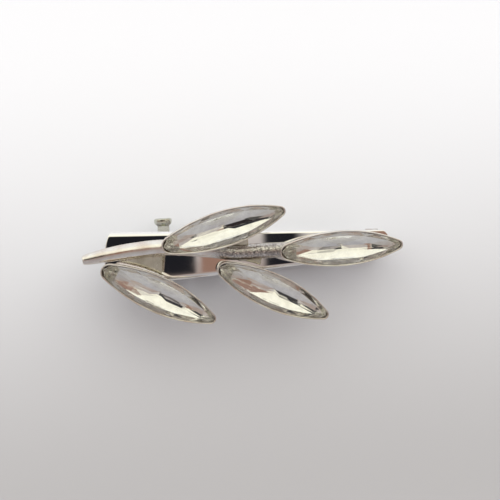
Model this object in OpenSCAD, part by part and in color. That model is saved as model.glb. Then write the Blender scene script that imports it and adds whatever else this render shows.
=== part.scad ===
// Automatic hair clip with a leaf branch of long pointed stones.
// +X runs from the latch end to the hinge end, +Z towards the ornament.
// The origin lies under the middle of the clip, on the flat underside of the arm.

/* [Top plate] */
// Length of the arched top plate
plate_l = 37.6; // [36:0.2:40]
// Half-width of the plate at its latch end
plate_hw_latch = 3.5; // [3.4:0.05:3.7]
// Half-width of the plate at its hinge end
plate_hw_hinge = 1.7; // [1.65:0.05:1.9]
// Thickness of the plate sheet
plate_t = 0.5; // [0.45:0.05:0.6]
// Height of the plate's crown above the underside of the arm
plate_z = 7.6; // [7.4:0.1:8]
// Radius of the arch along the plate
arch_r = 70; // [65:1:75]
// Radius of the dome across the plate
dome_r = 9; // [8.5:0.5:12]

/* [Hinge] */
// Distance from the origin to the hinge pin
hinge_x = 17.2; // [17:0.1:17.3]
// Height of the hinge pin
hinge_z = 1.7; // [1.6:0.1:1.8]
// Diameter of the hinge pin
pin_d = 0.8; // [0.7:0.05:0.9]
// Radial running clearance of the arm on the pin
run_gap = 0.04; // [0.02:0.01:0.08]

/* [Arm] */
// Thickness of the arm strip
arm_t = 0.4; // [0.35:0.05:0.45]
// Half-width of the arm at the latch window
arm_hw = 2.9; // [2.8:0.05:3]
// Height of the raised latch end of the arm
arm_lift = 1.0; // [0.95:0.05:1.1]

/* [Latch] */
// Distance from the origin to the latch, towards the latch end
latch_x = 10.9; // [10.7:0.1:11]
// Thickness of the latch strip
latch_t = 0.35; // [0.3:0.05:0.4]
// Width of each latch leg
leg_w = 1.5; // [1.4:0.1:1.6]
// Diameter of the round squeeze heads
head_d = 2.3; // [2.2:0.1:2.6]
// Distance from the middle of the clip to the outside of a squeeze head
head_y = 4.9; // [4.7:0.05:5]

/* [Bow spring] */
// Radius of the bow
bow_r = 20; // [19.8:0.1:20.4]
// Height of the bow's crown above the underside of the arm
bow_z = 1.7; // [1.6:0.05:1.8]
// Thickness of the bow strip
bow_t = 0.22; // [0.18:0.02:0.24]
// Width of the bow strip
bow_w = 2.4; // [2.2:0.1:2.6]

/* [Leaf settings] */
// Length of each stone
stone_l = 15.3; // [15:0.1:15.5]
// Width of each stone
stone_w = 4.2; // [4:0.05:4.3]
// Gap between a stone and the wall of its cup
seat_gap = 0.05; // [0.03:0.01:0.06]
// Thickness of a cup's wall
wall_t = 0.2; // [0.2:0.05:0.3]
// Height of a cup
cup_h = 1.9; // [1.8:0.05:2]
// Thickness of a cup's floor
floor_t = 0.35; // [0.3:0.05:0.35]
// Tilt of the whole branch about the length of the clip, in degrees
branch_tilt = 14; // [13:1:15]
// Height of the branch's face over the middle of the clip
branch_z = 9.7; // [9.7:0.05:9.9]

/* [Stem] */
// Diameter of the stem
stem_d = 1.95; // [1.85:0.05:2]

/* [Hidden] */

// Roundness of large arcs, of ordinary holes and of outlines inside a hull
fn_arc = 240;
fn_hole = 48;
fn_leaf = 96;

// Colours of the finishes
chrome_c = [0.86, 0.86, 0.88];
steel_c = [0.72, 0.73, 0.76];
cast_c = [0.80, 0.79, 0.77];
solder_c = [0.70, 0.69, 0.66];
glue_c = [0.85, 0.83, 0.74];
foil_c = [0.93, 0.92, 0.88];
stone_c = [0.92, 0.94, 0.95];

// Margins used where one solid has to start clearly inside or outside another
near = 0.05;
far = 30;

// The arch's axis, and the plate's underside on the centre line
arch_z = plate_z - arch_r;
function plate_top(x) = arch_z + sqrt(arch_r * arch_r - x * x);
function plate_under(x) = plate_top(x) - plate_t;

// Hinge lugs: the plate's pair outside, the arm's pair inside
lug_r = 1.1;
lug_t = 0.4;
arm_lug_y = 0.75;
plate_lug_y = 1.2;

// Latch: pivot line where each leg bends away from the base
base_t = 0.4;
base_gap = 0.22;
pivot_y = 1.68;
pivot_r = 0.2;
pivot_z = 5.25;
neck_z = 3.2;
barb_y = 2.45;
window_y = 2.1;
window_l = 2.8;
rivet_r = 0.6;

// Bow spring: where the sprung span meets its riveted end
bow_x = 1.5;
bow_mid_z = bow_z + bow_r;
anchor_x = 13.2;
anchor_end_x = 15.5;
bow_free_x = -8.2;
bow_pivot_x = 13;
bow_pivot_z = bow_mid_z - sqrt(pow(bow_r - bow_t / 2, 2) - pow(bow_pivot_x - bow_x, 2));
bow_rivet_x = 14.4;
bow_rivet_r = 0.45;

// Stone profile: girdle, table and keel measured from the rim of the cup
girdle_t = 0.15;
girdle_z = -0.35;
table_z = 0.85;
keel_z = -1.45;

// Leaves: root x, root y, lift of the rim above the branch face, heading in degrees
leaf_upper = [-11.7, 1.1, 0.9, 16];
leaf_tip = [3.2, -0.5, 0.3, 0.8];
leaf_lower_left = [-18.85, -0.28, 0.2, -35.5];
leaf_lower_right = [-4.3, -1.05, 0.2, -34.5];
LEAVES = [leaf_upper, leaf_tip, leaf_lower_left, leaf_lower_right];
leaf_l = 16;

// Stem centre line in the branch's own frame: x, y, z and share of the full radius
STEM_PATH = [[-21.6, 0, -0.85, 0.34], [-21.4, 0.03, -0.85, 0.52], [-20.7, 0.13, -0.85, 0.68],
             [-18.2, 0.5, -0.9, 0.9], [-15.2, 0.8, -1, 1], [-11.2, 0.95, -1, 1],
             [-6, 0.3, -1, 1], [-2.7, -0.25, -1, 1], [0.6, -0.3, -1, 1], [5.4, -0.35, -1, 0.9]];
stem_sides = 16;
stem_steps = 4;

// ---------- Outlines ----------

// Radius of the arc that gives a pointed oval its length and width
function oval_r(l, w) = (l * l / 4 + w * w / 4) / w;

// Pointed oval between two arcs, its point-to-point length on X
module pointed_oval(l, w, fn = fn_arc) {
    r = oval_r(l, w);
    intersection() {
        translate([0, r - w / 2]) circle(r, $fn = fn);
        translate([0, w / 2 - r]) circle(r, $fn = fn);
    }
}

// The same oval grown by a margin on every side
module grown_oval(l, w, grow, fn = fn_arc) {
    r = oval_r(l, w);
    intersection() {
        translate([0, r - w / 2]) circle(r + grow, $fn = fn);
        translate([0, w / 2 - r]) circle(r + grow, $fn = fn);
    }
}

module plate_outline() {
    half = plate_l / 2;
    latch_arc = 7;
    corner_r = 1.5;
    function hw(x) = plate_hw_latch + (plate_hw_hinge - plate_hw_latch) * (x + half) / plate_l;
    intersection() {
        polygon([[-half, -hw(-half)], [half, -hw(half)], [half, hw(half)], [-half, hw(-half)]]);
        union() {
            translate([latch_arc - half, 0]) circle(latch_arc, $fn = fn_arc);
            translate([latch_arc - half, -far / 2])
                square([plate_l - latch_arc - corner_r, far]);
            for (s = [-1, 1])
                translate([half - corner_r, s * (hw(half) - corner_r)])
                    circle(corner_r, $fn = fn_hole);
            translate([half - 2 * corner_r, corner_r - hw(half)])
                square([2 * corner_r, 2 * (hw(half) - corner_r)]);
        }
    }
}

// ---------- Top plate and hinge ----------

// Solid of revolution about the arch's axis, from a profile drawn at its radius
module arched(half_angle) {
    translate([0, 0, arch_z]) rotate([90, 0, 0]) rotate([0, 0, 90 - half_angle])
        rotate_extrude(angle = 2 * half_angle, $fn = 2 * fn_arc) children();
}

// Everything below the domed top surface, down past the plate
module under_dome(sink = 0) {
    arched(18) intersection() {
        translate([arch_r - dome_r, 0]) circle(dome_r - sink, $fn = fn_arc);
        translate([arch_r - 6, -4.5]) square([7, 9]);
    }
}

module plate_sheet() {
    arched(17) intersection() {
        translate([arch_r - dome_r, 0]) difference() {
            circle(dome_r, $fn = fn_arc);
            circle(dome_r - plate_t, $fn = fn_arc);
        }
        translate([arch_r - 2, -4.5]) square([3, 9]);
    }
}

module across(x, z, r, y0, y1, fn = fn_hole) {
    translate([x, y0, z]) rotate([-90, 0, 0]) cylinder(r = r, h = y1 - y0, $fn = fn);
}

// Draws in a frame that stands on the plate's top surface at x, square to the arch
module at_plate(x) {
    translate([0, 0, arch_z]) rotate([0, asin(x / arch_r), 0]) translate([0, 0, arch_r])
        children();
}

// Countersunk rivet flush with the plate, its axis along the plate's local normal.
// Cut out with some height over the plate, it makes the hole that the rivet fills.
module rivet_solid(x, r, length, head_r, head_t, over = 0) {
    sink_r = 1.6 * r;
    at_plate(x) {
        translate([0, 0, -length]) cylinder(r = r, h = length - plate_t / 2, $fn = fn_hole);
        translate([0, 0, -plate_t])
            cylinder(r1 = r, r2 = sink_r, h = plate_t, $fn = fn_hole);
        translate([0, 0, -length]) cylinder(r = head_r, h = head_t, $fn = fn_hole);
        if (over > 0) cylinder(r = sink_r, h = over, $fn = fn_hole);
    }
}

module plate_lugs() {
    for (s = [0, 1]) mirror([0, s, 0])
        intersection() {
            under_dome(plate_t / 2);
            union() {
                across(hinge_x, hinge_z, lug_r, plate_lug_y, plate_lug_y + lug_t);
                translate([hinge_x - lug_r, plate_lug_y, hinge_z])
                    cube([2 * lug_r, lug_t, plate_z - hinge_z]);
            }
        }
}

module top_plate() color(chrome_c) difference() {
    union() {
        intersection() {
            plate_sheet();
            linear_extrude(2 * plate_z) plate_outline();
        }
        intersection() {
            plate_lugs();
            linear_extrude(2 * plate_z) plate_outline();
        }
    }
    across(hinge_x, hinge_z, pin_d / 2, -far, far);
    rivet_solid(-latch_x, rivet_r, 2, rivet_r, near, 1);
    rivet_solid(bow_rivet_x, bow_rivet_r, 2, bow_rivet_r, near, 1);
}

module hinge_pin() color(steel_c) {
    end_y = plate_lug_y + lug_t;
    head_t = 0.15;
    across(hinge_x, hinge_z, pin_d / 2, -end_y - head_t, end_y + head_t);
    for (s = [0, 1]) mirror([0, s, 0])
        across(hinge_x, hinge_z, pin_d * 0.75, end_y, end_y + head_t);
}

// ---------- Arm ----------

arm_tip_x = -14.4;
arm_step_x = -7.4;
arm_hinge_hw = arm_lug_y + lug_t;

module arm_outline() {
    polygon([[hinge_x + 0.9, -arm_hinge_hw], [14, -arm_hinge_hw], [-8.6, -arm_hw],
             [-13, -arm_hw], [arm_tip_x, -1.8], [arm_tip_x, 1.8], [-13, arm_hw],
             [-8.6, arm_hw], [14, arm_hinge_hw], [hinge_x + 0.9, arm_hinge_hw]]);
    translate([arm_tip_x, 0]) circle(1.8, $fn = fn_hole);
}

// Side view of the strip: flat stretch, step up to the latch, turned-down tip
module arm_side() {
    t = arm_t;
    polygon([[hinge_x + 0.9, 0], [arm_step_x, 0], [arm_step_x - 1.2, arm_lift],
             [arm_tip_x, arm_lift], [arm_tip_x - 1.8, 0.5], [arm_tip_x - 1.8, 0.5 + t],
             [arm_tip_x, arm_lift + t], [arm_step_x - 1.4, arm_lift + t],
             [arm_step_x - 0.2, t], [hinge_x + 0.9, t]]);
}

module arm_lug() {
    translate([0, arm_lug_y + lug_t, 0]) rotate([90, 0, 0]) linear_extrude(lug_t) union() {
        translate([hinge_x, hinge_z]) circle(lug_r - 0.1, $fn = fn_hole);
        polygon([[12.8, near], [hinge_x + 0.9, near], [hinge_x + 0.9, hinge_z],
                 [hinge_x - 0.9, hinge_z], [13.6, arm_t + 0.3]]);
    }
}

// Low flange along one edge of the flat stretch
module arm_flange() {
    edge = 0.35;
    rise = 1.1;
    linear_extrude(rise) polygon([[13, 1.23], [-7, 2.773], [-7, 2.773 - edge], [13, 1.23 - edge]]);
}

module arm() color(chrome_c) difference() {
    union() {
        intersection() {
            translate([0, 5, 0]) rotate([90, 0, 0]) linear_extrude(10) arm_side();
            linear_extrude(3) arm_outline();
        }
        for (s = [0, 1]) mirror([0, s, 0]) {
            arm_lug();
            arm_flange();
        }
    }
    across(hinge_x, hinge_z, pin_d / 2 + run_gap, -far, far);
    translate([-latch_x - window_l / 2, -window_y, 0]) cube([window_l, 2 * window_y, 3]);
}

// ---------- Latch ----------

module latch_base() color(steel_c) difference() {
    base_l = 3.2;
    base_w = 3.8;
    at_plate(-latch_x) translate([-base_l / 2, -base_w / 2, -plate_t - base_gap - base_t])
        cube([base_l, base_w, base_t]);
    rivet_solid(-latch_x, rivet_r, 2, rivet_r, near);
}

module latch_rivet() color(steel_c) intersection() {
    head_t = 0.2;
    rivet_solid(-latch_x, rivet_r, plate_t + base_gap + base_t + head_t, 1, head_t);
    under_dome(0.01);
}

// One squeeze ear on the +Y side: leg with its barb, neck and dished head
module ear() {
    inner = pivot_y - latch_t / 2;
    outer = inner + latch_t;
    union() {
        translate([-latch_x - leg_w / 2, 0, pivot_z]) translate([0, pivot_y, 0])
            rotate([0, 90, 0]) cylinder(r = pivot_r, h = leg_w, $fn = fn_hole);
        translate([-latch_x - leg_w / 2, 0, 0]) rotate([90, 0, 90]) linear_extrude(leg_w)
            polygon([[inner, 0.2], [outer, 0.2], [barb_y - 0.1, 0.6], [barb_y, 0.92],
                     [outer, 0.92], [outer, neck_z], [head_y - 0.9, neck_z],
                     [head_y - 0.9, neck_z + latch_t], [outer, neck_z + latch_t],
                     [outer, pivot_z], [inner, pivot_z]]);
        translate([-latch_x, 0, neck_z + latch_t / 2]) rotate([-90, 0, 0])
            rotate_extrude($fn = fn_hole)
                polygon([[0, head_y - 1], [head_d * 0.3, head_y - 1],
                         [head_d * 0.46, head_y - 0.75], [head_d / 2, head_y - 0.45],
                         [head_d / 2, head_y - 0.15], [head_d * 0.42, head_y],
                         [head_d * 0.3, head_y - 0.12], [0, head_y - 0.22]]);
    }
}

module latch_ear_back() color(steel_c) ear();
module latch_ear_front() color(steel_c) mirror([0, 1, 0]) ear();

// ---------- Bow spring ----------

module bow_ring() {
    translate([bow_x, bow_mid_z]) difference() {
        circle(bow_r, $fn = 2 * fn_arc);
        circle(bow_r - bow_t, $fn = 2 * fn_arc);
    }
}

module bow_extrude() {
    translate([0, bow_w / 2, 0]) rotate([90, 0, 0]) linear_extrude(bow_w) children();
}

module bow_spring() color(steel_c) bow_extrude() {
    intersection() {
        bow_ring();
        translate([bow_free_x, bow_z - 1]) square([bow_pivot_x - bow_free_x, 8]);
    }
    translate([bow_pivot_x, bow_pivot_z]) circle(bow_t / 2, $fn = fn_hole);
}

// Riveted end: the last of the arc, then a tab along the underside of the plate
module bow_anchor() color(steel_c) difference() {
    tab_gap = 0.16;
    arc_z = bow_mid_z - sqrt(pow(bow_r, 2) - pow(anchor_x - bow_x, 2));
    bow_extrude() polygon([[anchor_x, arc_z], [anchor_x + 0.25, plate_under(anchor_x) - tab_gap - bow_t],
        [anchor_end_x, plate_under(anchor_end_x) - tab_gap - bow_t],
        [anchor_end_x, plate_under(anchor_end_x) - tab_gap],
        [anchor_x, plate_under(anchor_x) - tab_gap]]);
    rivet_solid(bow_rivet_x, bow_rivet_r, 2, bow_rivet_r, near);
}

module bow_rivet() color(steel_c) intersection() {
    rivet_solid(bow_rivet_x, bow_rivet_r, 1.1, 0.75, 0.2);
    under_dome(0.01);
}

// ---------- Branch ----------

// Puts what is drawn in the branch's own frame onto the clip
module on_branch() {
    translate([0, 0, branch_z]) rotate([branch_tilt, 0, 0]) children();
}

// Puts what is drawn about a leaf's centre, with its rim at z = 0, onto the clip
module on_leaf(leaf) {
    on_branch() translate([leaf[0], leaf[1], leaf[2]]) rotate([0, 0, leaf[3]])
        translate([leaf_l / 2, 0, 0]) children();
}

module cup_envelope(grow = 0) {
    translate([0, 0, -cup_h - grow]) linear_extrude(cup_h + grow + 3) intersection() {
        grown_oval(stone_l, stone_w, seat_gap + wall_t + grow);
        square([leaf_l + 2 * grow, stone_l], center = true);
    }
}

module cup(leaf) color(cast_c) on_leaf(leaf) difference() {
    translate([0, 0, -cup_h]) linear_extrude(cup_h) intersection() {
        grown_oval(stone_l, stone_w, seat_gap + wall_t);
        square([leaf_l, stone_l], center = true);
    }
    translate([0, 0, floor_t - cup_h]) linear_extrude(cup_h)
        grown_oval(stone_l, stone_w, seat_gap);
}

// Lower half of a stone, grown all round, from its girdle down to the keel
module pavilion(grow) {
    hull() {
        translate([0, 0, girdle_z]) linear_extrude(girdle_t)
            grown_oval(stone_l, stone_w, grow, fn_leaf);
        translate([0, 0, keel_z - grow]) linear_extrude(0.05)
            square([stone_l * 0.5, 0.3], center = true);
    }
}

module stone(leaf) color(stone_c) on_leaf(leaf) hull() {
    translate([0, 0, girdle_z]) linear_extrude(girdle_t)
        pointed_oval(stone_l, stone_w, fn_leaf);
    translate([0, 0, table_z - 0.05]) linear_extrude(0.05)
        pointed_oval(stone_l * 0.6, stone_w * 0.3, fn_leaf);
    translate([0, 0, keel_z]) linear_extrude(0.05)
        square([stone_l * 0.5, 0.3], center = true);
}

module foil(leaf) color(foil_c) on_leaf(leaf) difference() {
    pavilion(0.9 * seat_gap);
    pavilion(0.2 * seat_gap);
    translate([0, 0, girdle_z - near]) linear_extrude(2)
        pointed_oval(2 * stone_l, 2 * stone_w, fn_leaf);
}

module glue(leaf) color(glue_c) on_leaf(leaf) difference() {
    translate([0, 0, floor_t - cup_h]) linear_extrude(cup_h - floor_t + girdle_z - 2 * near)
        grown_oval(stone_l, stone_w, seat_gap - 0.01);
    pavilion(seat_gap);
}

module cup_upper() cup(leaf_upper);
module cup_tip() cup(leaf_tip);
module cup_lower_left() cup(leaf_lower_left);
module cup_lower_right() cup(leaf_lower_right);
module glue_upper() glue(leaf_upper);
module glue_tip() glue(leaf_tip);
module glue_lower_left() glue(leaf_lower_left);
module glue_lower_right() glue(leaf_lower_right);
module foil_upper() foil(leaf_upper);
module foil_tip() foil(leaf_tip);
module foil_lower_left() foil(leaf_lower_left);
module foil_lower_right() foil(leaf_lower_right);
module stone_upper() stone(leaf_upper);
module stone_tip() stone(leaf_tip);
module stone_lower_left() stone(leaf_lower_left);
module stone_lower_right() stone(leaf_lower_right);

// Smooth curve through four neighbouring points, t running from the second to the third
function curve(a, b, c, d, t) =
    0.5 * (2 * b + (c - a) * t + (2 * a - 5 * b + 4 * c - d) * t * t
           + (3 * b - a - 3 * c + d) * t * t * t);

function stem_point(i, t) = let (n = len(STEM_PATH) - 1)
    curve(STEM_PATH[max(i - 1, 0)], STEM_PATH[i], STEM_PATH[min(i + 1, n)],
          STEM_PATH[min(i + 2, n)], t);

STEM_LINE = [for (i = [0 : len(STEM_PATH) - 2], k = [0 : stem_steps - 1])
                 stem_point(i, k / stem_steps),
             STEM_PATH[len(STEM_PATH) - 1]];

// One ring of the stem, square to the line through its neighbours in plan
function stem_ring(i) = let (
    n = len(STEM_LINE) - 1,
    p = STEM_LINE[i],
    q = STEM_LINE[min(i + 1, n)] - STEM_LINE[max(i - 1, 0)],
    turn = atan2(q[1], q[0]),
    r = p[3] * stem_d / 2)
    [for (k = [0 : stem_sides - 1]) let (a = 360 * k / stem_sides)
        [p[0] - r * cos(a) * sin(turn), p[1] + r * cos(a) * cos(turn), p[2] + r * sin(a)]];

module stem_bar() {
    n = len(STEM_LINE);
    m = stem_sides;
    polyhedron(
        points = [for (i = [0 : n - 1]) each stem_ring(i)],
        faces = [[for (k = [0 : m - 1]) k],
                 for (i = [0 : n - 2], k = [0 : m - 1])
                     [i * m + k, (i + 1) * m + k, (i + 1) * m + (k + 1) % m,
                      i * m + (k + 1) % m],
                 [for (k = [m - 1 : -1 : 0]) (n - 1) * m + k]]);
}

module all_cups() {
    for (leaf = LEAVES) on_leaf(leaf) cup_envelope(0.01);
}

module stem() color(cast_c) difference() {
    on_branch() stem_bar();
    all_cups();
}

// Gussets in the three forks, each a flat web between the stem and a leaf
module web_plates() {
    web_t = 0.7;
    on_branch() translate([0, 0, -1.55]) linear_extrude(web_t) {
        polygon([[-17.6, 0.3], [-11.6, 0.8], [-11.9, -2.6], [-13.5, -3.4]]);
        polygon([[-3.2, -0.5], [1.0, -0.5], [0.6, -2.9], [-1.4, -3]]);
        polygon([[-5.6, 0.3], [-0.7, 0], [-0.9, 1.8], [-4, 2.2]]);
    }
}

module fork_webs() color(cast_c) difference() {
    web_plates();
    on_branch() stem_bar();
    all_cups();
}

// Solder pads that hold the branch on the plate: x, y and radius of each
PADS = [[-9.5, 0.95, 0.9], [-1.5, -0.2, 1], [8.6, 0, 0.9]];
pad_h = 4.2;

module mounting_pads() color(solder_c) difference() {
    for (p = PADS) translate([p[0], p[1], plate_z - 3]) cylinder(r = p[2], h = pad_h, $fn = fn_hole);
    under_dome(-0.01);
    web_plates();
    on_branch() stem_bar();
    all_cups();
}

top_plate();
hinge_pin();
arm();
bow_anchor();
bow_spring();
bow_rivet();
latch_base();
latch_rivet();
latch_ear_back();
latch_ear_front();
stem();
fork_webs();
mounting_pads();
cup_upper();
cup_tip();
cup_lower_left();
cup_lower_right();
glue_upper();
glue_tip();
glue_lower_left();
glue_lower_right();
foil_upper();
foil_tip();
foil_lower_left();
foil_lower_right();
stone_upper();
stone_tip();
stone_lower_left();
stone_lower_right();
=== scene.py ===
# %% [markdown]
# # An automatic hair clip with a leafy branch
#
# The mechanism is finished before this script starts: its bodies, hinges and sizes come in as a
# fixed frame. What is left is how it looks, and on jewellery that is mostly edges and reflections.
# A pressed plate, a cast stem, thin stone cups and cut stones each get a mesh of their own, in the
# place where the frame holds the plain part, and ride on the body that the plain part rides on.

# %% Load the frame and note the size that nothing may outgrow
import math

import bmesh
import bpy
from mathutils import Matrix, Vector
from mathutils import noise as field


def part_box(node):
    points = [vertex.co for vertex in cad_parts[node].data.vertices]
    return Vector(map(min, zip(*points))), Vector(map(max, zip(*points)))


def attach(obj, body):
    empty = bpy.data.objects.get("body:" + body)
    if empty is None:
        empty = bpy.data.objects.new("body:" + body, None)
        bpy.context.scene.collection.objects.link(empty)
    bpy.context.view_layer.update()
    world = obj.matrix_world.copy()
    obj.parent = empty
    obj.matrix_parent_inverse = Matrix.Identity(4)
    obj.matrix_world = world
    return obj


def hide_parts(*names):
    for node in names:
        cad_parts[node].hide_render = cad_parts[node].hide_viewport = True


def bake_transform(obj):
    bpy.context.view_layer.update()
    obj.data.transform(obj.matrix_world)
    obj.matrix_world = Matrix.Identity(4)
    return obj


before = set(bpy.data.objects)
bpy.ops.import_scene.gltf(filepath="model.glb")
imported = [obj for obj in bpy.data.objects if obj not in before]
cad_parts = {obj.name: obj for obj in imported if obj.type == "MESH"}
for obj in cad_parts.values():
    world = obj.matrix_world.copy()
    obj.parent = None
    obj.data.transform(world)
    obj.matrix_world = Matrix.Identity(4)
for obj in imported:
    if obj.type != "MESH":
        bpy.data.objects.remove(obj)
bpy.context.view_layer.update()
MM = 0.001

# %% [markdown]
# ## Finishes
#
# A mirror finish has almost no colour of its own. What makes it read as metal is that it is never
# quite perfect: faint smudges change its roughness, and a shallow waviness bends the reflections.
# Both are wanted on most of the metals here, so each is a node group, built once and placed in
# each material with its own numbers. The shader itself stays in the material, so that the gloss is
# set where it can be read.

# %% Colours
def rgb(r, g, b):
    return (r, g, b, 1)


def grey(value, warmth=0.0):
    return rgb(value * (1 + warmth), value, value * (1 - warmth))


WHITE = grey(1)
BLACK = grey(0)
print("white is", WHITE, "and black is", BLACK)

# %% [markdown]
# Four small jobs come up in every node tree below: a noise at a given scale, a range of values
# spread out to run from 0 to 1, two values multiplied, and two colours mixed. A helper for each
# keeps the trees short enough to read.

# %% Node helpers
def scaled_noise(tree, vector, scale, detail):
    """scale is a plain number or a socket to link."""
    noise = tree.nodes.new("ShaderNodeTexNoise")
    noise.inputs["Detail"].default_value = detail
    tree.links.new(vector, noise.inputs["Vector"])
    if isinstance(scale, bpy.types.NodeSocket):
        tree.links.new(scale, noise.inputs["Scale"])
    else:
        noise.inputs["Scale"].default_value = scale
    return noise.outputs["Fac"]


def spread_range(tree, value, low, high):
    """Map Range node that takes low to 0 and high to 1."""
    spread = tree.nodes.new("ShaderNodeMapRange")
    spread.inputs["From Min"].default_value = low
    spread.inputs["From Max"].default_value = high
    tree.links.new(value, spread.inputs["Value"])
    return spread


def multiply(tree, first, second):
    times = tree.nodes.new("ShaderNodeMath")
    times.operation = "MULTIPLY"
    tree.links.new(first, times.inputs[0])
    tree.links.new(second, times.inputs[1])
    return times.outputs[0]


def mix_colours(tree, factor, first, second):
    """Each colour is a plain colour or a socket to link."""
    mix = tree.nodes.new("ShaderNodeMix")
    mix.data_type = "RGBA"
    tree.links.new(factor, mix.inputs["Factor"])
    for label, colour in (("A", first), ("B", second)):
        if isinstance(colour, bpy.types.NodeSocket):
            tree.links.new(colour, mix.inputs[label])
        else:
            mix.inputs[label].default_value = colour
    return mix.outputs["Result"]


# %% [markdown]
# Fingers and polishing leave faint smudges, which show as patches of duller shine. A noise picks
# the patches, and the group turns it into a roughness between two values.

# %% Node group: smudges that vary the roughness
def group_shell(name, inputs, output):
    group = bpy.data.node_groups.new(name, "ShaderNodeTree")
    for label, kind, default in inputs:
        socket = group.interface.new_socket(label, in_out="INPUT", socket_type=kind)
        socket.default_value = default
    group.interface.new_socket(output[0], in_out="OUTPUT", socket_type=output[1])
    ins = group.nodes.new("NodeGroupInput")
    outs = group.nodes.new("NodeGroupOutput")
    coords = group.nodes.new("ShaderNodeTexCoord")
    return group, ins.outputs, outs.inputs, coords.outputs["Object"]


def build_smudges():
    group, ins, outs, place = group_shell(
        "smudges",
        [("Low", "NodeSocketFloat", 0.04), ("High", "NodeSocketFloat", 0.1),
         ("Scale", "NodeSocketFloat", 300.0)],
        ("Roughness", "NodeSocketFloat"))
    patches = scaled_noise(group, place, ins["Scale"], detail=4)
    spread = spread_range(group, patches, 0.35, 0.7)
    group.links.new(ins["Low"], spread.inputs["To Min"])
    group.links.new(ins["High"], spread.inputs["To Max"])
    group.links.new(spread.outputs["Result"], outs["Roughness"])
    return group


SMUDGES = build_smudges()
print("node group:", SMUDGES.name)

# %% [markdown]
# Rolled sheet has lines along it and a casting has a soft grain. Both are a noise that pushes the
# surface's normal a little. Scaling the coordinates first draws the grain out along one direction.

# %% Node group: fine relief, stretched along one direction if wanted
def build_relief():
    group, ins, outs, place = group_shell(
        "relief",
        [("Stretch", "NodeSocketVector", (1.0, 1.0, 1.0)), ("Scale", "NodeSocketFloat", 900.0),
         ("Strength", "NodeSocketFloat", 0.1), ("Depth", "NodeSocketFloat", 0.00002)],
        ("Normal", "NodeSocketVector"))
    mapping = group.nodes.new("ShaderNodeMapping")
    group.links.new(place, mapping.inputs["Vector"])
    group.links.new(ins["Stretch"], mapping.inputs["Scale"])
    grain = scaled_noise(group, mapping.outputs["Vector"], ins["Scale"], detail=5)
    bump = group.nodes.new("ShaderNodeBump")
    group.links.new(grain, bump.inputs["Height"])
    group.links.new(ins["Strength"], bump.inputs["Strength"])
    group.links.new(ins["Depth"], bump.inputs["Distance"])
    group.links.new(bump.outputs["Normal"], outs["Normal"])
    return group


RELIEF = build_relief()
print("node group:", RELIEF.name)

# %% [markdown]
# No plating has quite one colour. The last group lets it drift between two.

# %% Node group: tone that drifts between two colours
def build_tone():
    group, ins, outs, place = group_shell(
        "tone",
        [("First", "NodeSocketColor", grey(0.8)), ("Second", "NodeSocketColor", grey(0.6)),
         ("Scale", "NodeSocketFloat", 400.0)],
        ("Color", "NodeSocketColor"))
    drift = scaled_noise(group, place, ins["Scale"], detail=6)
    share = spread_range(group, drift, 0.3, 0.7).outputs["Result"]
    group.links.new(mix_colours(group, share, ins["First"], ins["Second"]), outs["Color"])
    return group


TONE = build_tone()
print("node group:", TONE.name)

# %% [markdown]
# A finish is the three groups, each with its own numbers, plugged into one plain shader. What is
# the same all over the surface, such as being metal, is set on the shader's own socket.

# %% A material from the three groups
def place_group(tree, group, values):
    node = tree.nodes.new("ShaderNodeGroup")
    node.node_tree = group
    for label, value in values.items():
        node.inputs[label].default_value = value
    return node


def shader_of(material):
    return next(n for n in material.node_tree.nodes if n.type == "BSDF_PRINCIPLED")


def make_finish(name, tone, smudges, relief, **fixed):
    """tone, smudges and relief hold the groups' own inputs; fixed holds plain shader sockets."""
    material = bpy.data.materials.new(name)
    material.use_nodes = True
    tree = material.node_tree
    shader = shader_of(material)
    for label, value in fixed.items():
        shader.inputs[label.replace("_", " ")].default_value = value
    pairs = ((TONE, tone, "Color", "Base Color"), (SMUDGES, smudges, "Roughness", "Roughness"),
             (RELIEF, relief, "Normal", "Normal"))
    for group, values, output, socket in pairs:
        node = place_group(tree, group, values)
        tree.links.new(node.outputs[output], shader.inputs[socket])
    return material


# %% [markdown]
# The plate and the arm are bright plated sheet. The latch and the bow are spring steel, which keeps
# the lines of the rolling mill along its length. Rivets and pin are plainer steel. The branch is a
# casting: plated too, but softer in its shine.

# %% Metals
EVEN = (1.0, 1.0, 1.0)
bright_plate = make_finish(
    "bright_plate",
    dict(First=grey(0.9, 0.01), Second=grey(0.84, 0.015), Scale=160.0),
    dict(Low=0.03, High=0.085, Scale=260.0),
    dict(Stretch=(0.35, 1.0, 1.0), Scale=220.0, Strength=0.12, Depth=0.00003),
    Metallic=1.0)
spring_steel = make_finish(
    "spring_steel",
    dict(First=grey(0.74), Second=grey(0.62), Scale=500.0),
    dict(Low=0.16, High=0.28, Scale=700.0),
    dict(Stretch=(0.04, 1.0, 0.6), Scale=9000.0, Strength=0.25, Depth=0.00001),
    Metallic=1.0)
rivet_steel = make_finish(
    "rivet_steel",
    dict(First=grey(0.7), Second=grey(0.55, 0.02), Scale=900.0),
    dict(Low=0.2, High=0.36, Scale=1500.0),
    dict(Stretch=EVEN, Scale=5000.0, Strength=0.2, Depth=0.00001),
    Metallic=1.0)
plated_cast = make_finish(
    "plated_cast",
    dict(First=rgb(0.87, 0.86, 0.82), Second=rgb(0.7, 0.61, 0.55), Scale=520.0),
    dict(Low=0.1, High=0.26, Scale=500.0),
    dict(Stretch=EVEN, Scale=1100.0, Strength=0.2, Depth=0.00003),
    Metallic=1.0)
khaki_cast = make_finish(
    "khaki_cast",
    dict(First=rgb(0.74, 0.71, 0.6), Second=rgb(0.5, 0.47, 0.36), Scale=650.0),
    dict(Low=0.22, High=0.4, Scale=700.0),
    dict(Stretch=(1.6, 0.5, 1.0), Scale=1500.0, Strength=0.6, Depth=0.00012),
    Metallic=1.0)
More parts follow.
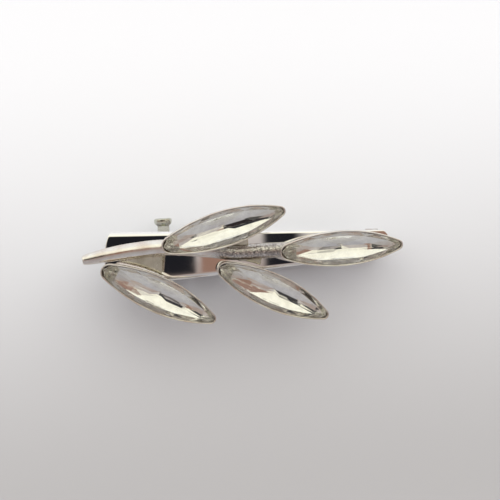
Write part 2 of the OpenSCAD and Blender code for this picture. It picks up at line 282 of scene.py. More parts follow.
satin_steel = make_finish(
    "satin_steel",
    dict(First=rgb(0.66, 0.66, 0.6), Second=rgb(0.5, 0.5, 0.42), Scale=500.0),
    dict(Low=0.12, High=0.24, Scale=600.0),
    dict(Stretch=EVEN, Scale=1800.0, Strength=0.2, Depth=0.00002),
    Metallic=1.0)
soft_solder = make_finish(
    "soft_solder",
    dict(First=grey(0.66, 0.02), Second=grey(0.5, 0.03), Scale=900.0),
    dict(Low=0.3, High=0.5, Scale=1200.0),
    dict(Stretch=EVEN, Scale=2600.0, Strength=0.5, Depth=0.00005),
    Metallic=1.0)
print("metals:", [m.name for m in (
    bright_plate, spring_steel, rivet_steel, plated_cast, khaki_cast, satin_steel, soft_solder)])

# %% [markdown]
# A cheap bright stone is clear glass with a silvered back. Light goes in through the crown, off the
# silver and out again, so the facets show pieces of the room and not what is behind the stone.
# The stone's own mesh carries both: glass on the crown, silver on the faces below the girdle.
# The silver has a very fine grain along the stone, which streaks what it shows.

# %% Glass, silvering and glue
LONGWAYS = "longways"
GRAIN_STRETCH = (0.06, 1.0, 1.0)


def stretch_along_stone(material, scale, strength, depth):
    """Fine grain along each stone, from the coordinates that the stone carries."""
    tree = material.node_tree
    own = tree.nodes.new("ShaderNodeAttribute")
    own.attribute_name = LONGWAYS
    mapping = tree.nodes.new("ShaderNodeMapping")
    mapping.inputs["Scale"].default_value = GRAIN_STRETCH
    tree.links.new(own.outputs["Vector"], mapping.inputs["Vector"])
    bump = tree.nodes.new("ShaderNodeBump")
    bump.inputs["Strength"].default_value = strength
    bump.inputs["Distance"].default_value = depth
    grain = scaled_noise(tree, mapping.outputs["Vector"], scale, detail=3)
    tree.links.new(grain, bump.inputs["Height"])
    tree.links.new(bump.outputs["Normal"], shader_of(material).inputs["Normal"])


cut_glass = make_finish(
    "cut_glass",
    dict(First=rgb(0.99, 0.99, 0.985), Second=rgb(0.95, 0.96, 0.955), Scale=200.0),
    dict(Low=0.0, High=0.015, Scale=600.0),
    dict(Stretch=EVEN, Scale=1500.0, Strength=0.02, Depth=0.00001),
    Transmission_Weight=1.0, IOR=1.54, Metallic=0.0)
silvering = make_finish(
    "silvering",
    dict(First=rgb(0.95, 0.945, 0.92), Second=rgb(0.82, 0.81, 0.78), Scale=1100.0),
    dict(Low=0.0, High=0.035, Scale=900.0),
    dict(Stretch=EVEN, Scale=1000.0, Strength=0.1, Depth=0.00001),
    Metallic=1.0)
stretch_along_stone(silvering, 2600.0, 0.5, 0.00002)
foil_lacquer = make_finish(
    "foil_lacquer",
    dict(First=rgb(0.8, 0.74, 0.58), Second=rgb(0.66, 0.6, 0.45), Scale=800.0),
    dict(Low=0.2, High=0.35, Scale=900.0),
    dict(Stretch=EVEN, Scale=3000.0, Strength=0.3, Depth=0.00002),
    Metallic=1.0)
glue = make_finish(
    "glue",
    dict(First=rgb(0.8, 0.76, 0.6), Second=rgb(0.68, 0.62, 0.45), Scale=700.0),
    dict(Low=0.12, High=0.3, Scale=900.0),
    dict(Stretch=EVEN, Scale=1800.0, Strength=0.4, Depth=0.00004),
    IOR=1.5, Metallic=0.0)
print("stones:", [m.name for m in (cut_glass, silvering, foil_lacquer, glue)])

# %% [markdown]
# ## Helpers that make the shapes
#
# Most shapes here are one outline that changes as it moves: a cup's wall, a stem, a rivet head.
# So there is one helper for that. It starts from a circle, extrudes its edge once for each station
# and puts every new vertex where the shape says. Each vertex remembers its angle on that first
# circle, and the extrusion copies it, so no vertex list has to be written.

# %% Loft: a ring that is extruded from station to station
def loft(stations, place, segments=64, close_end=True):
    """place(station, angle) gives the point in metres. Returns a bmesh with a closed skin."""
    bm = bmesh.new()
    turn = bm.verts.layers.float.new("turn")
    ring = bmesh.ops.create_circle(bm, cap_ends=True, segments=segments, radius=1)["verts"]
    for v in ring:
        v[turn] = math.atan2(v.co.y, v.co.x)
        v.co = place(stations[0], v[turn])
    edges = list(bm.edges)
    for station in stations[1:]:
        made = bmesh.ops.extrude_edge_only(bm, edges=edges)["geom"]
        ring = {g for g in made if isinstance(g, bmesh.types.BMVert)}
        edges = [g for g in made if isinstance(g, bmesh.types.BMEdge) and ring.issuperset(g.verts)]
        for v in ring:
            v.co = place(station, v[turn])
    if close_end:
        bmesh.ops.edgeloop_fill(bm, edges=edges)
    bmesh.ops.recalc_face_normals(bm, faces=bm.faces)
    return bm


# %% [markdown]
# Each finished mesh becomes an object at the origin, with its place in its mesh. It then rides the
# body that its plain part rides and hides the plain part.

# %% Turning a bmesh into a piece of the object
def finish_piece(bm, name, materials, smooth_below=30):
    """Smooth shading, broken at edges that turn by more than smooth_below degrees."""
    mesh = bpy.data.meshes.new(name)
    bm.to_mesh(mesh)
    bm.free()
    piece = bpy.data.objects.new(name, mesh)
    bpy.context.scene.collection.objects.link(piece)
    for material in materials:
        mesh.materials.append(material)
    mesh.shade_smooth()
    mesh.set_sharp_from_angle(angle=math.radians(smooth_below))
    return piece


def stands_for(piece, body, slot, *nodes):
    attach(piece, body)
    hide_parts(*nodes)
    print(piece.name, "stands for", ", ".join(nodes))


def apply_modifiers(piece):
    """The mesh as its modifiers leave it, put back on the piece."""
    graph = bpy.context.evaluated_depsgraph_get()
    done = bpy.data.meshes.new_from_object(piece.evaluated_get(graph))
    old = piece.data
    piece.modifiers.clear()
    piece.data = done
    bpy.data.meshes.remove(old)


def thicken(piece, thickness, offset, edge_radius, edge_segments, even=False):
    """Gives a bare sheet its thickness and rounds the edges that this makes."""
    sheet = piece.modifiers.new("sheet", "SOLIDIFY")
    sheet.thickness = thickness
    sheet.offset = offset
    sheet.use_even_offset = even
    edge = piece.modifiers.new("edge", "BEVEL")
    edge.width = edge_radius
    edge.segments = edge_segments
    edge.limit_method = "ANGLE"
    edge.angle_limit = math.radians(50)
    apply_modifiers(piece)


# %% [markdown]
# Sheet-metal parts with bores and bends are right as they come from the frame, apart from their
# knife edges. A real pressing has a small radius everywhere. A copy of the mesh is merged, its flat
# faces are joined up and its edges are bevelled, which puts a thin highlight on every edge.

# %% Helper: a copy of a frame part with softened edges
def merged_copy(node):
    bm = bmesh.new()
    bm.from_mesh(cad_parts[node].data)
    for layer in list(bm.loops.layers.uv.values()):
        bm.loops.layers.uv.remove(layer)
    for face in bm.faces:
        face.material_index = 0
    bmesh.ops.remove_doubles(bm, verts=bm.verts, dist=0.000002)
    bmesh.ops.dissolve_limit(bm, angle_limit=math.radians(0.5), verts=bm.verts, edges=bm.edges)
    return bm


def soften(bm, radius, turn=30, segments=2):
    sharp = [e for e in bm.edges
             if len(e.link_faces) == 2 and e.calc_face_angle() > math.radians(turn)]
    bmesh.ops.bevel(bm, geom=sharp, offset=radius, offset_type="OFFSET", affect="EDGES",
                    segments=segments, profile=0.5, material=-1, clamp_overlap=True)


# %% [markdown]
# ## Top plate
#
# The plate is one pressing: arched along its length, nearly flat across its middle and rolled down
# at its two long edges. That roll catches the light as a bright line and leaves the middle to
# mirror the dark above it. A grid is the natural start: its columns run across the plate, and
# each vertex is moved to its place on the arch. Solidify gives the sheet its thickness.

# %% Plate dimensions, from the frame and the clip's own outline
plate_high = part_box("top_plate")[1]
PLATE_HALF_L = plate_high.x
PLATE_TOP = plate_high.z
# The curved latch end cuts the widest corners off, so the outline starts a little wider.
LATCH_HALF_W = plate_high.y * 1.013
HINGE_HALF_W = 1.7 * MM
ARCH_R = 70 * MM
SHEET = 0.5 * MM
LATCH_ARC = 7 * MM
CORNER_R = 1.5 * MM
ROLL_SHARE = 0.16
ROLL_DROP = 0.3 * MM
CROSS_R = 40 * MM
print("plate:", round(2 * PLATE_HALF_L / MM, 1), "mm long, top at", round(PLATE_TOP / MM, 2), "mm")


def plate_half_width(x):
    share = (x + PLATE_HALF_L) / (2 * PLATE_HALF_L)
    return LATCH_HALF_W + (HINGE_HALF_W - LATCH_HALF_W) * share


def arch(x):
    return PLATE_TOP - ARCH_R + math.sqrt(ARCH_R ** 2 - x * x)


def plate_point(along, across):
    """along and across run from -1 to 1 over the plate."""
    spread = math.sin(across * math.pi / 2)
    guess = along * PLATE_HALF_L
    y = spread * plate_half_width(guess)
    start = LATCH_ARC - PLATE_HALF_L - math.sqrt(LATCH_ARC ** 2 - y * y)
    corner = max(0.0, abs(y) - (HINGE_HALF_W - CORNER_R))
    end = PLATE_HALF_L - CORNER_R + math.sqrt(max(0.0, CORNER_R ** 2 - corner ** 2))
    x = start + (end - start) * (along + 1) / 2
    edge = max(0.0, (abs(spread) - 1 + ROLL_SHARE) / ROLL_SHARE)
    z = arch(x) - y * y / (2 * CROSS_R) - ROLL_DROP * edge ** 2.2
    return Vector((x, y, z))


# %% [markdown]
# At the hinge end two lugs are folded down from the sheet to hold the pin. They come from the
# frame's own plate: two cuts keep only what hangs below the sheet, and it joins the new plate.

# %% Build the plate and join its hinge lugs on
LUG_X = 15.6 * MM
LUG_LEVEL_X = 17.2 * MM


def build_plate():
    bm = bmesh.new()
    bmesh.ops.create_grid(bm, x_segments=150, y_segments=40, size=1)
    for v in bm.verts:
        v.co = plate_point(v.co.x, v.co.y)
    plate = finish_piece(bm, "plate_pressing", [bright_plate])
    thicken(plate, SHEET, offset=-1, edge_radius=0.1 * MM, edge_segments=3, even=True)
    return plate


def hinge_lugs():
    """The part of the frame's plate that hangs below the sheet at the hinge end."""
    bm = merged_copy("top_plate")
    under_sheet = Vector((LUG_X, 0, arch(LUG_X) - SHEET * 0.9))
    lean = math.asin(LUG_LEVEL_X / ARCH_R)
    outward = Vector((math.sin(lean), 0, math.cos(lean)))
    for point, normal in ((Vector((LUG_X, 0, 0)), Vector((-1, 0, 0))), (under_sheet, outward)):
        geom = bm.verts[:] + bm.edges[:] + bm.faces[:]
        bmesh.ops.bisect_plane(bm, geom=geom, plane_co=point, plane_no=normal, clear_outer=True)
    soften(bm, 0.05 * MM, turn=60)
    return bm


plate = build_plate()
pressing = hinge_lugs()
pressing.from_mesh(plate.data)
pressing.to_mesh(plate.data)
pressing.free()
plate.data.shade_smooth()
plate.data.set_sharp_from_angle(angle=math.radians(35))
stands_for(plate, "clip_top", "plated_steel", "top_plate")

# %% [markdown]
# ## Arm, latch and rivets
#
# These are the parts underneath. The arm is a folded strip with a window, the latch is a bent
# spring strip with two squeeze ears, and rivets hold the rest. The softened copies do here.

# %% Softened copies of the parts underneath
def softened(node, body, slot, material, radius, turn=30):
    bm = merged_copy(node)
    soften(bm, radius, turn)
    piece = finish_piece(bm, node + "_softened", [material], smooth_below=40)
    stands_for(piece, body, slot, node)
    return piece


softened("arm", "arm", "plated_steel", bright_plate, 0.06 * MM)
softened("latch_base", "clip_top", "spring_steel", spring_steel, 0.06 * MM)
softened("latch_ear_back", "ear_back", "spring_steel", satin_steel, 0.05 * MM)
softened("latch_ear_front", "ear_front", "spring_steel", satin_steel, 0.05 * MM)
softened("hinge_pin", "clip_top", "bare_steel", rivet_steel, 0.04 * MM, turn=60)
softened("latch_rivet", "clip_top", "bare_steel", rivet_steel, 0.05 * MM, turn=60)
softened("bow_rivet", "clip_top", "bare_steel", rivet_steel, 0.05 * MM, turn=60)

# %% [markdown]
# ## Bow spring
#
# The bow and its riveted end are a single strip, although the frame holds them as two bodies so
# that the bow can be pressed in. The strip is a grid again, laid along the bow's arc and then along
# the plate's underside, with a smooth ease between the two where the bodies meet.

# %% The strip from its free end to its tab
bow_low, bow_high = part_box("bow_spring")
tab_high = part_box("bow_anchor")[1]
BOW_R = 20 * MM
BOW_T = 0.22 * MM
BOW_MID_X = 1.5 * MM
TAB_GAP = 0.16 * MM
EASE_X = 12.9 * MM
EASE_L = 0.9 * MM
FREE_END = 1.2 * MM


def bow_underside(x):
    """Lower face of the strip: the bow's arc, easing into the tab along the plate."""
    reach = x - BOW_MID_X
    bow = bow_low.z + BOW_R - math.sqrt(BOW_R ** 2 - reach ** 2)
    tab = arch(x) - SHEET - TAB_GAP - BOW_T
    share = min(1.0, max(0.0, (x - EASE_X) / EASE_L))
    ease = share * share * (3 - 2 * share)
    return bow + (tab - bow) * ease


def build_bow():
    bm = bmesh.new()
    bmesh.ops.create_grid(bm, x_segments=110, y_segments=6, size=1)
    for v in bm.verts:
        x = bow_low.x + (tab_high.x - bow_low.x) * (v.co.x + 1) / 2
        y = bow_high.y * v.co.y
        end_share = max(0.0, 1 - (x - bow_low.x) / FREE_END)
        y *= math.sqrt(max(0.0, 1 - 0.5 * end_share ** 2))
        v.co = Vector((x, y, bow_underside(x)))
    piece = finish_piece(bm, "bow_strip", [spring_steel])
    thicken(piece, BOW_T, offset=1, edge_radius=0.05 * MM, edge_segments=2)
    piece.data.set_sharp_from_angle(angle=math.radians(40))
    return piece


bow = build_bow()
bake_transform(bow)
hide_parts("bow_spring", "bow_anchor")
print(bow.name, "bends between the bow and the plate:", len(bow.data.polygons), "faces")

# %% [markdown]
# ## Where each leaf lies
#
# The four leaves are the same shape in four places, each tilted with the branch. Their places are
# read back from the cups in the frame. A cup's largest flat face says which way its leaf faces. The
# rim is the same on both sides of its long axis, so averages over it give middle and direction.

# %% A local frame for each leaf, from its cup
LEAVES = ("upper", "tip", "lower_left", "lower_right")


def leaf_matrix(leaf):
    """Origin at the middle of the rim, X from root to tip and Z out of the face."""
    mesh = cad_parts["cup_" + leaf].data
    floor = max(mesh.polygons, key=lambda p: p.area if abs(p.normal.z) > 0.9 else 0)
    up = floor.normal * (1 if floor.normal.z > 0 else -1)
    height = max(v.co.dot(up) for v in mesh.vertices)
    rim = [v.co for v in mesh.vertices if height - v.co.dot(up) < 0.01 * MM]
    middle = sum(rim, Vector()) / len(rim)
    tipward = sum(((p - middle) * math.copysign(1, p.x - middle.x) for p in rim), Vector())
    along = tipward.normalized()
    across = up.cross(along).normalized()
    return Matrix.Translation(middle) @ Matrix((along, across, up)).transposed().to_4x4()


for leaf in LEAVES:
    centre = leaf_matrix(leaf).translation
    print(leaf, "leaf centred at", [round(c / MM, 2) for c in centre], "mm")

# %% [markdown]
# ## Leaf outline
#
# A navette is the shape shared by two equal circles that overlap. A real one has its two points
# rounded off, and here the root is blunter than the tip. A wall round it keeps an even thickness
# only if every point of the outline is pushed out along its own normal. So the outline is written
# by its normal: it sweeps quickly round a point, and then slowly along an arc.

# %% The pointed oval with rounded points
OVAL_W = 4.2 * MM
POINT_SHARE = 0.16


def half_oval(length, point_r):
    """One end of the leaf: the core arc's radius, offset and half length, and the point's radius."""
    arc_r = (length ** 2 / 4 + OVAL_W ** 2 / 4) / OVAL_W
    offset = arc_r - OVAL_W / 2
    return arc_r - point_r, offset, math.sqrt((arc_r - point_r) ** 2 - offset ** 2), point_r


ROOT_END = half_oval(18.3 * MM, 0.85 * MM)
TIP_END = half_oval(16.6 * MM, 0.45 * MM)


def oval(angle, grow=0.0, share_l=1.0, share_w=1.0):
    """Point of the outline, grown by a margin, then scaled. The angle only says how far round."""
    core_r, offset, core_half_l, point_r = TIP_END if math.cos(angle) > 0 else ROOT_END
    quarter = math.atan2(abs(math.sin(angle)), abs(math.cos(angle))) / (math.pi / 2)
    turn = math.acos(core_half_l / core_r)
    if quarter < POINT_SHARE:
        normal = quarter / POINT_SHARE * turn
        x, y = core_half_l, 0.0
    else:
        normal = turn + (quarter - POINT_SHARE) / (1 - POINT_SHARE) * (math.pi / 2 - turn)
        x, y = core_r * math.cos(normal), core_r * math.sin(normal) - offset
    x += (point_r + grow) * math.cos(normal)
    y += (point_r + grow) * math.sin(normal)
    return math.copysign(x, math.cos(angle)) * share_l, math.copysign(y, math.sin(angle)) * share_w


print("leaf outline:", round((oval(0)[0] - oval(math.pi)[0]) / MM, 1), "mm long,",
      round(2 * oval(math.pi / 2)[1] / MM, 1), "mm wide")

# %% [markdown]
# ## Cups
#
# A cup is a thin boat of metal: a rounded floor, a wall that leans out a little, and a rim rolled
# in over the stone's girdle. Each row below is one station of the loft: how far the outline is
# grown, its shares of length and width, and its height above the rim, in mm.

# %% Build the four cups
CUP_OUTSIDE = [
    (0.00, 0.76, 0.50, -1.88), (0.05, 0.87, 0.70, -1.82), (0.12, 0.94, 0.85, -1.60),
    (0.19, 0.975, 0.94, -1.15), (0.23, 0.99, 0.97, -0.55), (0.25, 1.0, 1.0, -0.20),
    (0.25, 1.0, 1.0, -0.09)]
CUP_INSIDE = [
    (0.22, 1.0, 1.0, -0.02), (0.17, 1.0, 1.0, 0.0),
    (0.11, 1.0, 1.0, -0.02), (0.06, 1.0, 1.0, -0.08), (0.04, 1.0, 1.0, -0.20),
    (0.04, 1.0, 1.0, -0.45), (0.00, 0.97, 0.93, -0.9), (-0.1, 0.9, 0.78, -1.35),
    (-0.2, 0.74, 0.5, -1.64)]


def cup_place(leaf, margin=0.0):
    """Placing function for a loft that follows a cup. The margin swells or shrinks the outline."""
    leaf_to_world = leaf_matrix(leaf)

    def place(station, angle):
        grow, share_l, share_w, height = station
        x, y = oval(angle, grow * MM + margin, share_l, share_w)
        return leaf_to_world @ Vector((x, y, height * MM - margin))

    return place


def build_cup(leaf):
    bm = loft(CUP_OUTSIDE + CUP_INSIDE, cup_place(leaf), segments=128)
    cup = finish_piece(bm, "cup_" + leaf + "_cast", [plated_cast], smooth_below=50)
    stands_for(cup, "clip_top", "plated_casting", "cup_" + leaf)


for leaf in LEAVES:
    build_cup(leaf)

# %% [markdown]
# ## Stones
#
# Cutting a stone is taking a solid and grinding flats on it, and a convex hull does just that: it
# wraps flat faces round a few well-chosen corners. Below the girdle this stone is a boat: two
# rows of facets fall to a keel that runs from point to point. That keel is the line that parts the
# bright half of such a stone from its grey half. The crown has a ring of corners half way up and
# a narrow table. The rings are staggered, so the facets come out as kites and triangles.

# %% The stone's corners
# Rings: share of length, share of width, height in mm, corners, stagger
CROWN = [(1.0, 1.0, -0.16, 24, 0.0), (0.82, 0.62, 0.26, 12, 0.5), (0.6, 0.14, 0.66, 6, 0.5)]
PAVILION = [(1.0, 1.0, -0.32, 16, 0.0), (0.84, 0.66, -0.9, 10, 0.5)]
KEEL_HALF_L = 7.0
KEEL_Z = (-1.42, -0.66)
KEEL_CORNERS = 5
SAME_CORNER = 0.01 * MM
SAME_FACET = math.radians(1.5)


def add_ring(bm, ring, grow=0.0):
    share_l, share_w, height, count, stagger = ring
    for k in range(count):
        x, y = oval(math.tau * (k + stagger) / count, grow, share_l, share_w)
        bm.verts.new((x, y, height * MM))


def add_keel(bm, grow=0.0):
    """Corners along the bottom of the boat, deep in the middle and rising to the points."""
    for k in range(KEEL_CORNERS):
        along = 2 * k / (KEEL_CORNERS - 1) - 1
        depth = KEEL_Z[0] + (KEEL_Z[1] - KEEL_Z[0]) * along * along
        bm.verts.new((along * KEEL_HALF_L * MM, 0, depth * MM - grow))


def cut_solid(rings, grow=0.0):
    bm = bmesh.new()
    for ring in rings:
        add_ring(bm, ring, grow)
    add_keel(bm, grow)
    bmesh.ops.remove_doubles(bm, verts=bm.verts, dist=SAME_CORNER)
    made = bmesh.ops.convex_hull(bm, input=bm.verts, use_existing_faces=False)
    bmesh.ops.delete(bm, geom=made["geom_interior"], context="VERTS")
    bmesh.ops.dissolve_limit(bm, angle_limit=SAME_FACET, verts=bm.verts, edges=bm.edges)
    bmesh.ops.recalc_face_normals(bm, faces=bm.faces)
    return bm


# %% Cut the four stones
def build_stone(leaf):
    bm = cut_solid(CROWN + PAVILION)
    own = bm.verts.layers.float_vector.new(LONGWAYS)
    for v in bm.verts:
        v[own] = v.co
    girdle_low = PAVILION[0][2] * MM
    for face in bm.faces:
        face.material_index = 1 if face.calc_center_median().z < girdle_low - SAME_CORNER else 0
    bm.transform(leaf_matrix(leaf))
    stone = finish_piece(bm, "stone_" + leaf + "_cut", [cut_glass, silvering])
    stone.data.shade_flat()
    stands_for(stone, "clip_top", "crystal", "stone_" + leaf)
    print("  facets:", len(stone.data.polygons))


for leaf in LEAVES:
    build_stone(leaf)

# %% [markdown]
# The foil behind each stone is the same lower half, a hair larger and open at the top. The glue bed
# is that shape once more, larger again and cut off lower down, so neither can show through glass.

# %% Foils and glue beds
# Kind, finish, slot, then in mm: growth, thickness, drop, height of the open top
BACKINGS = [("foil", foil_lacquer, "foil", 0.015, 0.012, 0.03, -0.37),
            ("glue", glue, "adhesive", 0.04, 0.08, 0.07, -0.6)]


def lower_shell(grow, thickness, drop, top):
    """Skin round the lower half of a stone, open above the height called top."""
    bm = cut_solid(PAVILION, grow)
    geom = bm.verts[:] + bm.edges[:] + bm.faces[:]
    bmesh.ops.bisect_plane(bm, geom=geom, plane_co=(0, 0, top), plane_no=(0, 0, 1),
                           clear_outer=True)
    bmesh.ops.solidify(bm, geom=bm.faces[:], thickness=-thickness)
    bm.transform(Matrix.Translation((0, 0, -drop)))
    bmesh.ops.recalc_face_normals(bm, faces=bm.faces)
    return bm


def build_backing(leaf):
    for kind, material, slot, *sizes in BACKINGS:
        bm = lower_shell(*(size * MM for size in sizes))
        bm.transform(leaf_matrix(leaf))
        shell = finish_piece(bm, kind + "_" + leaf + "_shell", [material])
        shell.data.shade_flat()
        stands_for(shell, "clip_top", slot, kind + "_" + leaf)


for leaf in LEAVES:
    build_backing(leaf)

# %% [markdown]
# ## Stem
#
# The stem is cast in one piece with a tapered, rounded start. It is lofted along a short route of
# listed points, in the branch's own tilted frame, with a soft curve between them. Past the
# first fork its surface is rough where the casting was left unpolished.

# %% The stem's route
# Points: x, y and z in mm, in the branch's frame, and the share of the full radius there
BRANCH_TILT = math.radians(14)
BRANCH_Z = 9.7 * MM
STEM_R = 0.975
BRANCH = Matrix.Translation((0, 0, BRANCH_Z)) @ Matrix.Rotation(BRANCH_TILT, 4, "X")
STEM_ROUTE = [
    (-21.6, 0, -0.85, 0.44), (-21.45, 0.02, -0.85, 0.58), (-20.9, 0.1, -0.85, 0.7),
    (-19.6, 0.3, -0.87, 0.83), (-18.2, 0.5, -0.9, 0.92), (-15.2, 0.8, -1, 1),
    (-11.2, 0.95, -1, 1), (-6, 0.3, -1, 1), (-2.7, -0.25, -1, 1), (0.6, -0.3, -1, 1),
    (2.6, -0.33, -1, 1), (4.2, -0.34, -1.1, 0.95)]
STEPS_PER_SPAN = 14
print("stem:", len(STEM_ROUTE), "points on its route")


# %% Loft the stem along its route
def curve_point(route, i, t):
    """Smooth curve through the route, t running from point i to point i + 1."""
    last = len(route) - 1
    a, b, c, d = (route[min(max(i + k, 0), last)] for k in (-1, 0, 1, 2))
    return [0.5 * (2 * q + (r - p) * t + (2 * p - 5 * q + 4 * r - s) * t * t
                   + (3 * q - p - 3 * r + s) * t ** 3) for p, q, r, s in zip(a, b, c, d)]


def stem_stations():
    """Points along the curve, each with the direction that the stem runs in there."""
    points = [curve_point(STEM_ROUTE, i, k / STEPS_PER_SPAN)
              for i in range(len(STEM_ROUTE) - 1) for k in range(STEPS_PER_SPAN)]
    points.append(list(STEM_ROUTE[-1]))
    stations = []
    for i, p in enumerate(points):
        before, after = points[max(i - 1, 0)], points[min(i + 1, len(points) - 1)]
        stations.append((p, math.atan2(after[1] - before[1], after[0] - before[0])))
    return stations


def stem_place(station, angle):
    (x, y, z, share), turn = station
    r = STEM_R * share
    side, rise = r * math.cos(angle), r * math.sin(angle)
    point = Vector((x - side * math.sin(turn), y + side * math.cos(turn), z + rise))
    return BRANCH @ (point * MM)


stem_mesh = loft(stem_stations(), stem_place, segments=40)
print("stem:", len(stem_mesh.faces), "faces before it is cut")

# %% [markdown]
# The cups are let into the stem, so the stem may not run through them and show behind the glass.
# A boolean takes each cup's outside away from it. The cutter is a little smaller than the cup,
# which leaves the stem just inside the cup's wall and no gap between the two.

# %% Let the cups into the stem
CUTTER_TOP = (0.2, 1.0, 1.0, 0.6)
CUTTER_MARGIN = -0.08 * MM


def cut_away_cups(piece):
    cutters = []
    for leaf in LEAVES:
        solid = loft(CUP_OUTSIDE + [CUTTER_TOP], cup_place(leaf, CUTTER_MARGIN), segments=64)
        cutter = finish_piece(solid, "cutter_" + leaf, [plated_cast])
        cut = piece.modifiers.new(cutter.name, "BOOLEAN")
        cut.operation = "DIFFERENCE"
        cut.solver = "EXACT"
        cut.object = cutter
        cutters.append(cutter)
    apply_modifiers(piece)
    for cutter in cutters:
        bpy.data.objects.remove(cutter)


stem = finish_piece(stem_mesh, "stem_cast", [plated_cast], smooth_below=60)
cut_away_cups(stem)
print("stem:", len(stem.data.polygons), "faces after it is cut")

# %% [markdown]
# Past the first fork the casting was left rough. That is real relief, so it is in the mesh as well
# as in the material: the stem is divided finely there, and a smooth three-dimensional noise nudges
# each vertex. The vertex also stores how rough its place is, for the material to read.

# %% Roughen the middle of the stem
ROUGH_FROM = -6.2 * MM
ROUGH_TO = 3.4 * MM
ROUGH_FADE = 1.6 * MM
ROUGH_DEPTH = 0.03 * MM
ROUGH_GRAIN = 0.13 * MM
ROUGHNESS_HERE = "rough_here"


def rough_share(x):
    rise = min(1.0, max(0.0, (x - ROUGH_FROM) / ROUGH_FADE))
    fall = min(1.0, max(0.0, (ROUGH_TO + ROUGH_FADE - x) / ROUGH_FADE))
    return rise * fall


def roughen(piece):
    bm = bmesh.new()
    bm.from_mesh(piece.data)
    rough_edges = [e for e in bm.edges if ROUGH_FROM < e.verts[0].co.x < ROUGH_TO + ROUGH_FADE]
    bmesh.ops.subdivide_edges(bm, edges=rough_edges, cuts=3, use_grid_fill=True)
    bm.normal_update()
    here = bm.verts.layers.float.new(ROUGHNESS_HERE)
    for v in bm.verts:
        v[here] = rough_share(v.co.x)
        push = field.noise(v.co / ROUGH_GRAIN) + 0.5 * field.noise(v.co / (0.4 * ROUGH_GRAIN))
        v.co += v.normal * push * ROUGH_DEPTH * v[here]
    bm.to_mesh(piece.data)
    bm.free()
    piece.data.shade_smooth()
    piece.data.set_sharp_from_angle(angle=math.radians(60))


roughen(stem)
print("stem:", len(stem.data.polygons), "faces after roughening")

# %% [markdown]
# The finish for the stem is a copy of the casting's, with dark specks mixed into its tone only
# where the mesh says that it is rough.

# %% Dark specks on the rough part, and the stem's finish
SPECK_DARK = rgb(0.12, 0.11, 0.11)
SPECK_SCALE = 6500.0


def speckle_rough_part(material):
    tree = material.node_tree
    shader = shader_of(material)
    own = tree.nodes.new("ShaderNodeAttribute")
    own.attribute_name = ROUGHNESS_HERE
    specks = place_group(tree, TONE, dict(First=BLACK, Second=WHITE, Scale=SPECK_SCALE))
    share = multiply(tree, own.outputs["Fac"], specks.outputs["Color"])
    tone = shader.inputs["Base Color"].links[0].from_socket
    darkened = mix_colours(tree, share, tone, SPECK_DARK)
    tree.links.new(darkened, shader.inputs["Base Color"])


rough_cast = plated_cast.copy()
rough_cast.name = "rough_cast"
speckle_rough_part(rough_cast)
stem.data.materials[0] = rough_cast
stands_for(stem, "clip_top", "plated_casting", "stem")

# %% [markdown]
# ## Webs and solder
#
# Metal that was liquid has no sharp edges and creeps up what it touches. A voxel remesh followed by
# smoothing turns the plain blocks into such blobs, and a slight swelling lets them run into
# the parts beside them.

# %% Melt the fork webs and the solder pads
def melted(node, material, slot, voxel, swell):
    bm = merged_copy(node)
    piece = finish_piece(bm, node + "_melted", [material])
    remesh = piece.modifiers.new("voxels", "REMESH")
    remesh.mode = "VOXEL"
    remesh.voxel_size = voxel
    smooth = piece.modifiers.new("flow", "SMOOTH")
    smooth.iterations = 8
    smooth.factor = 0.5
    swelling = piece.modifiers.new("swell", "DISPLACE")
    swelling.strength = swell
    swelling.mid_level = 0.0
    apply_modifiers(piece)
    piece.data.shade_smooth()
    piece.data.materials.clear()
    piece.data.materials.append(material)
    stands_for(piece, "clip_top", slot, node)
    print("  faces:", len(piece.data.polygons))


melted("fork_webs", khaki_cast, "plated_casting", 0.07 * MM, 0.06 * MM)
melted("mounting_pads", soft_solder, "solder", 0.08 * MM, 0.06 * MM)

# %% [markdown]
# ## Paper, light and camera
#
# Bright metal shows the room, so the room is part of the look. The world is a sky of soft bands:
# a bright window behind the object, a dim side towards the viewer, and overhead the dark shape of
# someone leaning over a table. The lamp only throws the soft shadow, and mirrors do not show it.
# The sheet of paper below is matt.

# %% A colour ramp that a value runs along
def ramp(tree, value, stops):
    node = tree.nodes.new("ShaderNodeValToRGB")
    node.color_ramp.interpolation = "EASE"
    while len(node.color_ramp.elements) < len(stops):
        node.color_ramp.elements.new(0.5)
    for element, (position, colour) in zip(node.color_ramp.elements, stops):
        element.position = position
        element.color = colour
    tree.links.new(value, node.inputs["Fac"])
    return node.outputs["Color"]


# %% The world's bands
# Places run from 0 to 1 as a direction's X or Y runs from -1 to 1.
FRONT_TO_BACK = [
    (0.0, rgb(0.4, 0.39, 0.41)), (0.22, rgb(0.36, 0.34, 0.34)), (0.4, rgb(0.34, 0.27, 0.24)),
    (0.52, rgb(0.46, 0.42, 0.4)), (0.63, rgb(0.92, 0.89, 0.74)), (0.8, rgb(1.0, 0.98, 0.85)),
    (1.0, rgb(0.86, 0.87, 0.86))]
OVERHEAD_Y = [(0.39, BLACK), (0.435, WHITE), (0.61, WHITE), (0.64, BLACK)]
SOMEONE_X = [
    (0.0, BLACK), (0.19, BLACK), (0.215, WHITE), (0.443, WHITE), (0.452, BLACK),
    (0.5, BLACK), (0.595, BLACK), (0.615, WHITE), (0.67, WHITE), (0.71, BLACK)]
HANDS_X = [
    (0.455, BLACK), (0.466, WHITE), (0.515, WHITE), (0.53, BLACK), (0.8, BLACK), (0.83, WHITE),
    (0.9, WHITE), (0.95, BLACK)]
DARK_CLOTHES = rgb(0.012, 0.012, 0.015)
WARM_SKIN = rgb(0.27, 0.16, 0.12)
ROOM_STRENGTH = 1.2


